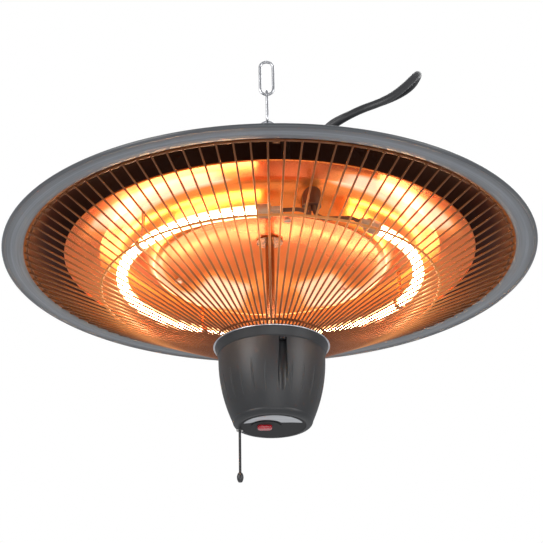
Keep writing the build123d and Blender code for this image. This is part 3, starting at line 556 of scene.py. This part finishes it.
# Wire guard: straight wires, and three rings that lie on them

WIRES = 100
IN_R, IN_H = 61.0, -104.1
OUT_R, OUT_H = 274.6, -0.9
RING_RADII = (272.5, 190.0, 65.0)
WIRE_RADIUS, RING_WIRE_RADIUS = 1.1, 1.4
WELD_PLAY = 0.04
RING_OFF = WIRE_RADIUS + RING_WIRE_RADIUS + WELD_PLAY
slope = atan2(OUT_H - IN_H, OUT_R - IN_R)


def guard_line(k):
    """Both ends of wire k, counted from the near side."""
    a = radians(-90 + 360 / WIRES * k)
    return [(r * MM * cos(a), r * MM * sin(a), BRIM + h * MM) for r, h in ((IN_R, IN_H), (OUT_R, OUT_H))]


def guard_ring(r):
    """Points of the ring that is welded to the wires at radius r."""
    h = IN_H + (r - IN_R) * tan(slope)
    ring = on_circle(0, 0, r - RING_OFF * sin(slope), 0.0, 2 * pi, 192)
    return lifted(ring[:-1], h + RING_OFF * cos(slope))


wires = bars("guard_bars", [guard_line(k) for k in range(WIRES)], WIRE_RADIUS * MM, sides=3)
wires.data.materials.append(mats["guard_steel"])
add(wires, "heater", "guard_steel", "guard_wires")
hoops = bars("guard_hoops", [guard_ring(r) for r in RING_RADII], RING_WIRE_RADIUS * MM, closed=True, sides=4)
hoops.data.materials.append(mats["guard_steel"])
add(hoops, "heater", "guard_steel", "guard_outer_ring", "guard_mid_ring", "guard_hub_ring")


# Return spring of the pull switch, held by the switch and pressed by the plunger

SPRING_WIRE = 0.0003
SPRING_INSET = 0.0004
SPRING_TURNS = 6
SPRING_POINTS = 20
sleeve = [cad["pull_spring"].matrix_world @ Vector(c) for c in cad["pull_spring"].bound_box]
foot, crown = min(c.z for c in sleeve), max(c.z for c in sleeve)
mid_x, mid_y = (sum(c[k] for c in sleeve) / 8 for k in (0, 1))
spring_r = (max(c.x for c in sleeve) - min(c.x for c in sleeve)) / 2 - SPRING_INSET
winding = on_circle(mid_x, mid_y, spring_r, 0.0, 2 * pi * SPRING_TURNS, SPRING_TURNS * SPRING_POINTS)
climb = (crown - foot - 2 * SPRING_WIRE) / (SPRING_TURNS * SPRING_POINTS)
wound = [(x, y, foot + SPRING_WIRE + climb * k) for k, (x, y) in enumerate(winding)]
spring_line = bars("spring_line", [wound], SPRING_WIRE, sides=1)
spring_line.data.materials.append(mats["fixing_steel"])
spring_mesh = bpy.data.meshes.new_from_object(spring_line)
spring_mesh.name = "switch_spring"
spring = bpy.data.objects.new("switch_spring", spring_mesh)
bpy.data.objects.remove(spring_line)
scene.collection.objects.link(spring)
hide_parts("pull_spring")
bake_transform(spring)


# Bare metal plate on the near half of the base, cut out round the lens

PLATE_H = -197.9
PLATE_R = 33.2
CUT_X, CUT_Y, CUT_R = -7.0, -1.5, 18.5
outline = on_circle(0, 0, PLATE_R, radians(-162), radians(-18), 24)
outline += [(31.2, -9.5), (20.0, -11.0)]
outline += on_circle(CUT_X, CUT_Y, CUT_R, radians(-32), radians(-140), 12)
outline += [(-26.0, -11.2)]
verts = lifted(outline, PLATE_H - 0.25) + lifted(outline, PLATE_H + 0.35)
n = len(outline)
faces = [tuple(range(n)), tuple(range(2 * n - 1, n - 1, -1))]
faces += [(k, (k + 1) % n, (k + 1) % n + n, k + n) for k in range(n)]
plate = mesh_object("plain_plate", verts, faces)
plate.data.materials.append(mats["plain_plate"])
add(plate, "heater", "base_plastic")


# Stage and light

FLOOR_SIZE = 110
FLOOR_Z = -2.8
floor_light = shader_of("stage_floor")[1].inputs
floor_light["Emission Color"].default_value = (1, 1, 1, 1)
floor_light["Emission Strength"].default_value = 0.22
bpy.ops.mesh.primitive_plane_add(size=FLOOR_SIZE, location=(0, 0, FLOOR_Z))
floor = bpy.context.object
floor.name = "floor"
floor.data.materials.append(mats["stage_floor"])

# The surroundings light the heater in grey, and are white behind it
world = bpy.data.worlds.new("world")
scene.world = world
world.use_nodes = True
wn = world.node_tree
grey = wn.nodes["Background"]
grey.inputs["Color"].default_value = (0.80, 0.82, 0.85, 1)
grey.inputs["Strength"].default_value = 0.55
white = node(wn, "ShaderNodeBackground", [("Color", (1, 1, 1, 1)), ("Strength", 1.0)])
path = node(wn, "ShaderNodeLightPath")
mix = node(wn, "ShaderNodeMixShader", [
    (0, path.outputs["Is Camera Ray"]), (1, grey.outputs["Background"]), (2, white.outputs["Background"])])
wn.links.new(mix.outputs["Shader"], wn.nodes["World Output"].inputs["Surface"])


def area(name, where, target, size, power):
    """A rectangular light that faces a point."""
    data = bpy.data.lights.new(name, "AREA")
    data.shape = "RECTANGLE"
    data.size, data.size_y = size
    data.energy = power
    obj = bpy.data.objects.new(name, data)
    obj.location = where
    obj.rotation_mode = "QUATERNION"
    obj.rotation_quaternion = (Vector(target) - Vector(where)).to_track_quat("-Z", "Y")
    scene.collection.objects.link(obj)


area("key_left", (-1.9, -1.7, 0.5), (0, 0, -0.28), (1.2, 1.6), 42)
area("fill_right", (2.2, -1.3, 0.1), (0, 0, -0.28), (1.0, 1.6), 26)
area("low_front", (0.3, -2.3, -0.95), (0, 0, -0.3), (1.6, 0.5), 11)
area("top_back", (0.4, 1.8, 1.4), (0, 0, -0.2), (1.8, 1.2), 30)

scene.view_settings.view_transform = "Standard"
